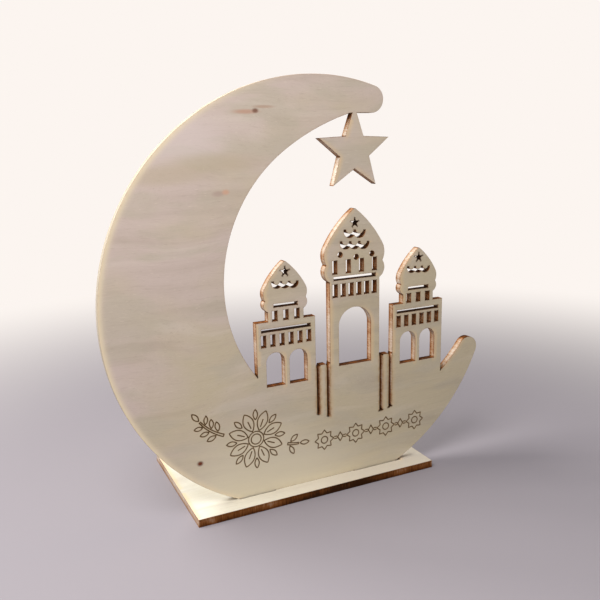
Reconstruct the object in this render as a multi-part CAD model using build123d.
from build123d import *
import math
import os

# A desk ornament of laser-cut plywood: a crescent panel that stands in a flat base plate.
# Sizes are millimetres. X runs along the panel, Y from its front to its back, Z up.
# X = 0 is the middle of the crescent's disc, Y = 0 the middle of the panel's thickness, and
# Z = 0 the table. The panel is drawn flat, in x and in height above the base plate's top.

# Base plate
BASE_WIDTH = 100.0
BASE_DEPTH = 60.0
BASE_THICKNESS = 3.0
BASE_SHIFT = 2.7  # the plate's middle lies this far left of the disc's middle
FRONT_LEDGE = 7.4  # plate in front of the panel

# Panel sheet and its two tabs
PANEL_THICKNESS = 3.0
FLAT_DEPTH = 7.9  # bottom of the disc that is cut away flat, so the panel has a foot
TAB_INSET = 0.5  # from the foot's end to a tab's outer side
LEFT_TAB_WIDTH = 14.0
RIGHT_TAB_WIDTH = 19.6
TAB_SHORT = 0.2  # the tabs end this much above the table
SLOT_FIT = 0.12  # clearance on each side of a tab
RIGHT_SLOT_EXTRA = 2.2  # the right slot runs on past its tab

# Crescent
DISC_RADIUS = 80.0
CRESCENT_WIDTH = 44.7  # across its widest part, opposite the mouth
THIN_SIDE = 1.3  # between the disc's and the bite's circles where they come closest
BITE_ANGLE = 21.2  # degrees above level, from the disc's centre to the bite's
RIGHT_HORN_RADIUS = 4.55
TOP_HORN_RADIUS = 4.8
TOP_HORN_HEIGHT = 13.05  # from the flat under the top horn to the disc's top
TOP_HORN_FLAT = 8.7  # length of that flat
TOP_HORN_ANGLE = 125.0  # degrees, where the bite's circle eases into the horn

# Hanging star, one piece with the horn
STAR_RADIUS = 15.2
STAR_WAIST_RADIUS = 6.4
STAR_TOP_RADIUS = 16.0  # the top point is a little longer than the others
STAR_BITE = 2.7  # and runs this far up into the horn
STAR_OFFSET = 1.5  # from the inner end of the horn's flat to the star's middle
STAR_POINTS = 5

# Towers. Heights are above the lowest point of the bite, where the towers stand.
TOWER_MIDDLE = 15.25  # the centre tower's axis
CENTRE_WIDTH = 21.7
SIDE_WIDTH = 23.7
SLIT_WIDTH = 1.9
FINGER_WIDTH = 2.4
FINGER_HEIGHT = 23.8

# Centre tower, from the sill up
CENTRE_SILL = 22.2
CENTRE_JAMB = 3.8
CENTRE_ARCH_HEIGHT = 22.5
CENTRE_ARCH_TO_WINDOWS = 4.5
CENTRE_WINDOW_WIDTH = 2.1
CENTRE_WINDOW_HEIGHT = 5.0
CENTRE_WINDOW_WALL = 1.3
CENTRE_WINDOWS = 6
CENTRE_WINDOWS_TO_DOME = 0.95
CENTRE_SLOT_RISE = 0.5
CENTRE_SLOT_HEIGHT = 1.4
CENTRE_SLOT_WALL = 1.75
CENTRE_SLOT_TO_WINDOWS = 1.0
CENTRE_TOP_WINDOW_WIDTH = 2.0
CENTRE_TOP_WINDOW_HEIGHT = 5.1
CENTRE_TOP_WINDOWS = 4
CENTRE_LOBE_HEIGHT = 6.5
CENTRE_OVERHANG = 2.2  # how far the dome reaches past the shaft
CENTRE_BULB_HEIGHT = 20.6
DOT_RADIUS = 1.05

# Side towers, from the sill up
SIDE_SILL = 18.7
SIDE_JAMB = 3.55
SIDE_PILLAR = 2.0
SIDE_ARCH_HEIGHT = 12.9
SIDE_ARCH_TO_WINDOWS = 2.35
SIDE_WINDOW_WIDTH = 1.9
SIDE_WINDOW_HEIGHT = 4.5
SIDE_WINDOW_WALL = 1.8
SIDE_WINDOWS = 6
SIDE_WINDOWS_TO_SLOT = 1.15
SIDE_SLOT_HEIGHT = 1.25
SIDE_SLOT_WALL = 2.0
SIDE_SLOT_TO_SHOULDER = 2.5
NECK_WIDTH = 14.3
NECK_HEIGHT = 3.6
NECK_WINDOW_WIDTH = 2.05
NECK_WINDOW_HEIGHT = 3.8
NECK_WINDOW_WALL = 1.7
NECK_WINDOWS = 3
NECK_SLOT_RISE = 1.5
NECK_SLOT_HEIGHT = 1.3
NECK_SLOT_WALL = 2.4
SIDE_LOBE_HEIGHT = 4.1
SIDE_OVERHANG = 1.55
SIDE_BULB_HEIGHT = 14.15

# Onion dome outline, as shares of the bulb's half width and height above the notch
NOTCH_SHARE = 0.933
LOBE_SHARES = (1.0, 0.5)
BULGE_SHARES = (1.0, 0.146)
SHOULDER_SHARES = (0.937, 0.32)
APEX_RADIUS = 0.8

# Cut-outs in the domes: places as shares of the bulb's half width and height
STAR_HOLE_RADIUS = 1.8
STAR_HOLE_WAIST = 0.75
CENTRE_STAR_SHARE = 0.735
SIDE_STAR_SHARE = 0.715
DOT_SHARES = ((-0.5, 0.155), (0.035, 0.11), (0.555, 0.165))

# Garlands: the lower and upper one of the centre dome, and the one of each side dome
GARLAND_TIP = 0.8  # width of a cut where it ends
GARLAND_TILT = -3.5  # degrees, as the garlands and the dots hang a little askew
LOWER_SWAGS = 3
LOWER_SWAG_WIDTH = 3.87
LOWER_SWAG_DEPTH = 2.9
LOWER_SWAG_BAND = 1.45
LOWER_GARLAND_SHARE = 0.395
UPPER_SWAGS = 2
UPPER_SWAG_WIDTH = 4.2
UPPER_SWAG_DEPTH = 3.0
UPPER_SWAG_BAND = 1.55
UPPER_GARLAND_SHARE = 0.605
SIDE_SWAGS = 3
SIDE_SWAG_WIDTH = 3.25
SIDE_SWAG_DEPTH = 2.55
SIDE_SWAG_BAND = 1.35
SIDE_GARLAND_SHARE = 0.465

# Positions worked out from the sizes
bite_radius = DISC_RADIUS - (CRESCENT_WIDTH + THIN_SIDE) / 2
disc_middle = (0, DISC_RADIUS - FLAT_DEPTH)
foot_half = math.sqrt(DISC_RADIUS**2 - disc_middle[1] ** 2)
side_offset = CENTRE_WIDTH / 2 + 2 * SLIT_WIDTH + FINGER_WIDTH + SIDE_WIDTH / 2
finger_offset = CENTRE_WIDTH / 2 + SLIT_WIDTH + FINGER_WIDTH / 2
panel_plane = Plane(
    origin=(0, PANEL_THICKNESS / 2, BASE_THICKNESS), x_dir=(1, 0, 0), z_dir=(0, -1, 0)
)


def polar(centre, radius, degrees):
    """The point at a radius and an angle from a centre."""
    angle = math.radians(degrees)
    return (centre[0] + radius * math.cos(angle), centre[1] + radius * math.sin(angle))


def angle_of(centre, point):
    """Direction from a centre to a point, in degrees."""
    return math.degrees(math.atan2(point[1] - centre[1], point[0] - centre[0]))


def arc_about(centre, start, end, turn):
    """Circular arc round a centre, anticlockwise where turn is 1 and clockwise where it is -1."""
    first = angle_of(centre, start)
    sweep = (angle_of(centre, end) - first) * turn % 360 * turn
    middle = polar(centre, math.dist(centre, start), first + sweep / 2)
    return ThreePointArc(start, middle, end)


def meeting_point(centre_a, radius_a, centre_b, radius_b):
    """Where two circles cross, on the right-hand side going from the first centre to the second."""
    apart = math.dist(centre_a, centre_b)
    along = (apart**2 + radius_a**2 - radius_b**2) / (2 * apart)
    corner = math.degrees(math.acos(along / radius_a))
    return polar(centre_a, radius_a, angle_of(centre_a, centre_b) - corner)


bite_middle = polar(disc_middle, (CRESCENT_WIDTH - THIN_SIDE) / 2, BITE_ANGLE)
bite_floor = bite_middle[1] - bite_radius


def top_horn_middle():
    """Centre of the top horn's round end: against the disc's edge, and resting on the horn's flat."""
    height = disc_middle[1] + DISC_RADIUS - TOP_HORN_HEIGHT + TOP_HORN_RADIUS
    reach = DISC_RADIUS - TOP_HORN_RADIUS
    return (math.sqrt(reach**2 - (height - disc_middle[1]) ** 2), height)


def crescent():
    """The disc less its bite, with a flat foot and two rounded horns, as one line of arcs."""
    foot_right = (foot_half, 0)
    foot_left = (-foot_half, 0)
    right_horn = meeting_point(
        disc_middle,
        DISC_RADIUS - RIGHT_HORN_RADIUS,
        bite_middle,
        bite_radius + RIGHT_HORN_RADIUS,
    )
    right_outside = polar(disc_middle, DISC_RADIUS, angle_of(disc_middle, right_horn))
    right_inside = polar(bite_middle, bite_radius, angle_of(bite_middle, right_horn))
    top_horn = top_horn_middle()
    top_outside = polar(disc_middle, DISC_RADIUS, angle_of(disc_middle, top_horn))
    flat_end = (top_horn[0], top_horn[1] - TOP_HORN_RADIUS)
    flat_start = (flat_end[0] - TOP_HORN_FLAT, flat_end[1])
    ease = polar(bite_middle, bite_radius, TOP_HORN_ANGLE)
    heading = math.radians(TOP_HORN_ANGLE)
    return make_face(
        [
            arc_about(disc_middle, foot_right, right_outside, 1),
            arc_about(right_horn, right_outside, right_inside, 1),
            arc_about(bite_middle, right_inside, ease, -1),
            TangentArc(ease, flat_start, tangent=(math.sin(heading), -math.cos(heading))),
            Line(flat_start, flat_end),
            arc_about(top_horn, flat_end, top_outside, 1),
            arc_about(disc_middle, top_outside, foot_left, 1),
            Line(foot_left, foot_right),
        ]
    )


def star(radius, waist, top_radius):
    """Five-pointed star round its own middle, with one point up that has a radius of its own."""
    corners = []
    for n in range(STAR_POINTS):
        reach = radius if n else top_radius
        corners.append(polar((0, 0), reach, 90 + 360 * n / STAR_POINTS))
        corners.append(polar((0, 0), waist, 90 + 360 * (n + 0.5) / STAR_POINTS))
    return make_face(Polyline(*corners, close=True))


def hanging_star():
    """The star under the top horn, whose top point runs up into the horn."""
    horn = top_horn_middle()
    flat = horn[1] - TOP_HORN_RADIUS
    middle = (horn[0] - TOP_HORN_FLAT + STAR_OFFSET, flat + STAR_BITE - STAR_TOP_RADIUS)
    return Pos(*middle) * star(STAR_RADIUS, STAR_WAIST_RADIUS, STAR_TOP_RADIUS)


def block(left, right, low, high):
    """Rectangle between two sides and two heights."""
    return Pos((left + right) / 2, (low + high) / 2) * Rectangle(right - left, high - low)


def column(middle, width, low, high):
    """Rectangle of a width about a vertical axis, between two heights."""
    return block(middle - width / 2, middle + width / 2, low, high)


def onion_dome(neck_width, overhang, lobe_height, bulb_height):
    """Onion dome on a neck: a small round lobe, a notch, and a bulb drawn up to a point."""
    neck = neck_width / 2
    reach = neck + overhang
    notch = (NOTCH_SHARE * reach, lobe_height)
    lobe = (LOBE_SHARES[0] * reach, LOBE_SHARES[1] * lobe_height)
    bulge = (BULGE_SHARES[0] * reach, lobe_height + BULGE_SHARES[1] * bulb_height)
    shoulder = (SHOULDER_SHARES[0] * reach, lobe_height + SHOULDER_SHARES[1] * bulb_height)
    apex = (0, lobe_height + bulb_height)
    lower = ThreePointArc(notch, bulge, shoulder)
    right_side = [
        ThreePointArc((neck, 0), lobe, notch),
        lower,
        TangentArc(shoulder, apex, tangent=lower % 1),
    ]
    left_side = [mirror(edge, about=Plane.YZ) for edge in right_side]
    outline = make_face(right_side + left_side + [Line((-neck, 0), (neck, 0))])
    return fillet(outline.vertices().sort_by(Axis.Y)[-1], APEX_RADIUS)


def arch(width, height):
    """Doorway with a half-round head, standing on its sill."""
    spring = height - width / 2
    return column(0, width, 0, spring) + Pos(0, spring) * Circle(width / 2)


def window_row(count, window_width, window_height, row_width):
    """Row of upright windows that fills a width, standing on one line."""
    pitch = (row_width - window_width) / (count - 1)
    row = Sketch()
    for n in range(count):
        row += column((n - (count - 1) / 2) * pitch, window_width, 0, window_height)
    return row


def swag(width, depth, band):
    """One hanging loop of a garland, between two cusps that it shares with its neighbours."""
    outer = (width + GARLAND_TIP) / 2
    inner = (width - GARLAND_TIP) / 2
    return make_face(
        [
            ThreePointArc((-outer, 0), (0, -depth), (outer, 0)),
            Line((outer, 0), (inner, 0)),
            ThreePointArc((inner, 0), (0, band - depth), (-inner, 0)),
            Line((-inner, 0), (-outer, 0)),
        ]
    )


def garland(height, count, width, depth, band):
    """Chain of swags that hangs a little askew from its cusps, at a height on the tower's axis."""
    chain = Sketch()
    for n in range(count):
        chain += Pos((n - (count - 1) / 2) * width, 0) * swag(width, depth, band)
    return Pos(0, height) * Rot(Z=GARLAND_TILT) * chain


def star_hole(height):
    """The small star near a dome's point."""
    return Pos(0, height) * star(STAR_HOLE_RADIUS, STAR_HOLE_WAIST, STAR_HOLE_RADIUS)


def centre_tower():
    """The tall tower's outline and its cut-outs, with its foot at the height 0 of its axis."""
    windows = CENTRE_SILL + CENTRE_ARCH_HEIGHT + CENTRE_ARCH_TO_WINDOWS
    dome = windows + CENTRE_WINDOW_HEIGHT + CENTRE_WINDOWS_TO_DOME
    slot = dome + CENTRE_SLOT_RISE
    top_windows = slot + CENTRE_SLOT_HEIGHT + CENTRE_SLOT_TO_WINDOWS
    notch = dome + CENTRE_LOBE_HEIGHT
    reach = CENTRE_WIDTH / 2 + CENTRE_OVERHANG
    row = CENTRE_WIDTH - 2 * CENTRE_WINDOW_WALL
    body = column(0, CENTRE_WIDTH, 0, dome) + Pos(0, dome) * onion_dome(
        CENTRE_WIDTH, CENTRE_OVERHANG, CENTRE_LOBE_HEIGHT, CENTRE_BULB_HEIGHT
    )
    holes = Pos(0, CENTRE_SILL) * arch(CENTRE_WIDTH - 2 * CENTRE_JAMB, CENTRE_ARCH_HEIGHT)
    holes += Pos(0, windows) * window_row(
        CENTRE_WINDOWS, CENTRE_WINDOW_WIDTH, CENTRE_WINDOW_HEIGHT, row
    )
    holes += column(0, CENTRE_WIDTH - 2 * CENTRE_SLOT_WALL, slot, slot + CENTRE_SLOT_HEIGHT)
    holes += Pos(0, top_windows) * window_row(
        CENTRE_TOP_WINDOWS, CENTRE_TOP_WINDOW_WIDTH, CENTRE_TOP_WINDOW_HEIGHT, row
    )
    for across, up in DOT_SHARES:
        dot = Pos(across * reach, up * CENTRE_BULB_HEIGHT) * Circle(DOT_RADIUS)
        holes += Pos(0, notch) * Rot(Z=GARLAND_TILT) * dot
    lower = notch + LOWER_GARLAND_SHARE * CENTRE_BULB_HEIGHT
    upper = notch + UPPER_GARLAND_SHARE * CENTRE_BULB_HEIGHT
    holes += garland(lower, LOWER_SWAGS, LOWER_SWAG_WIDTH, LOWER_SWAG_DEPTH, LOWER_SWAG_BAND)
    holes += garland(upper, UPPER_SWAGS, UPPER_SWAG_WIDTH, UPPER_SWAG_DEPTH, UPPER_SWAG_BAND)
    holes += star_hole(notch + CENTRE_STAR_SHARE * CENTRE_BULB_HEIGHT)
    return body, holes


def side_tower():
    """A lower tower's outline and cut-outs: two doorways, shoulders, a neck and a small dome."""
    windows = SIDE_SILL + SIDE_ARCH_HEIGHT + SIDE_ARCH_TO_WINDOWS
    slot = windows + SIDE_WINDOW_HEIGHT + SIDE_WINDOWS_TO_SLOT
    shoulder = slot + SIDE_SLOT_HEIGHT + SIDE_SLOT_TO_SHOULDER
    dome = shoulder + NECK_HEIGHT
    neck_slot = dome + NECK_SLOT_RISE
    notch = dome + SIDE_LOBE_HEIGHT
    doorway = (SIDE_WIDTH - 2 * SIDE_JAMB - SIDE_PILLAR) / 2
    body = column(0, SIDE_WIDTH, 0, shoulder) + column(0, NECK_WIDTH, 0, dome)
    body += Pos(0, dome) * onion_dome(
        NECK_WIDTH, SIDE_OVERHANG, SIDE_LOBE_HEIGHT, SIDE_BULB_HEIGHT
    )
    holes = Sketch()
    for side in (-1, 1):
        across = side * (SIDE_PILLAR + doorway) / 2
        holes += Pos(across, SIDE_SILL) * arch(doorway, SIDE_ARCH_HEIGHT)
    holes += Pos(0, windows) * window_row(
        SIDE_WINDOWS, SIDE_WINDOW_WIDTH, SIDE_WINDOW_HEIGHT, SIDE_WIDTH - 2 * SIDE_WINDOW_WALL
    )
    holes += column(0, SIDE_WIDTH - 2 * SIDE_SLOT_WALL, slot, slot + SIDE_SLOT_HEIGHT)
    holes += Pos(0, shoulder) * window_row(
        NECK_WINDOWS, NECK_WINDOW_WIDTH, NECK_WINDOW_HEIGHT, NECK_WIDTH - 2 * NECK_WINDOW_WALL
    )
    holes += column(
        0, NECK_WIDTH - 2 * NECK_SLOT_WALL, neck_slot, neck_slot + NECK_SLOT_HEIGHT
    )
    hung = notch + SIDE_GARLAND_SHARE * SIDE_BULB_HEIGHT
    holes += garland(hung, SIDE_SWAGS, SIDE_SWAG_WIDTH, SIDE_SWAG_DEPTH, SIDE_SWAG_BAND)
    holes += star_hole(notch + SIDE_STAR_SHARE * SIDE_BULB_HEIGHT)
    return body, holes


def tab_spans():
    """Left and right ends of the two tabs, each set in from an end of the foot."""
    outer = foot_half - TAB_INSET
    return ((-outer, -outer + LEFT_TAB_WIDTH), (outer - RIGHT_TAB_WIDTH, outer))


def slot_spans():
    """Left and right ends of the slots that take the tabs. The right slot runs on outwards."""
    left, right = tab_spans()
    return (
        (left[0] - SLOT_FIT, left[1] + SLOT_FIT),
        (right[0] - SLOT_FIT, right[1] + RIGHT_SLOT_EXTRA),
    )


def crescent_panel():
    """The whole fretwork panel, cut from one sheet: crescent, star, towers, fingers and tabs."""
    outline = crescent() + hanging_star()
    tall, tall_holes = centre_tower()
    low, low_holes = side_tower()
    outline += Pos(TOWER_MIDDLE, bite_floor) * tall
    holes = Pos(TOWER_MIDDLE, bite_floor) * tall_holes
    for side in (-1, 1):
        outline += Pos(TOWER_MIDDLE + side * side_offset, bite_floor) * low
        holes += Pos(TOWER_MIDDLE + side * side_offset, bite_floor) * low_holes
        finger = TOWER_MIDDLE + side * finger_offset
        outline += column(finger, FINGER_WIDTH, bite_floor, bite_floor + FINGER_HEIGHT)
    for left, right in tab_spans():
        outline += block(left, right, TAB_SHORT - BASE_THICKNESS, 0)
    return extrude(panel_plane * (outline - holes), PANEL_THICKNESS)


def base_plate():
    """The rectangular foot, with two through slots under the panel."""
    front = -PANEL_THICKNESS / 2 - FRONT_LEDGE
    plate = Pos(-BASE_SHIFT, front + BASE_DEPTH / 2) * Rectangle(BASE_WIDTH, BASE_DEPTH)
    slot_width = PANEL_THICKNESS + 2 * SLOT_FIT
    for left, right in slot_spans():
        plate -= block(left, right, -slot_width / 2, slot_width / 2)
    return extrude(plate, BASE_THICKNESS)


def main():
    os.makedirs("parts", exist_ok=True)
    for name, solid in (("crescent_panel", crescent_panel()), ("base_plate", base_plate())):
        export_step(solid, f"parts/{name}.step")
        size = solid.bounding_box().size
        print(f"{name}: {size.X:.2f} x {size.Y:.2f} x {size.Z:.2f}, volume {solid.volume:.1f}")


main()
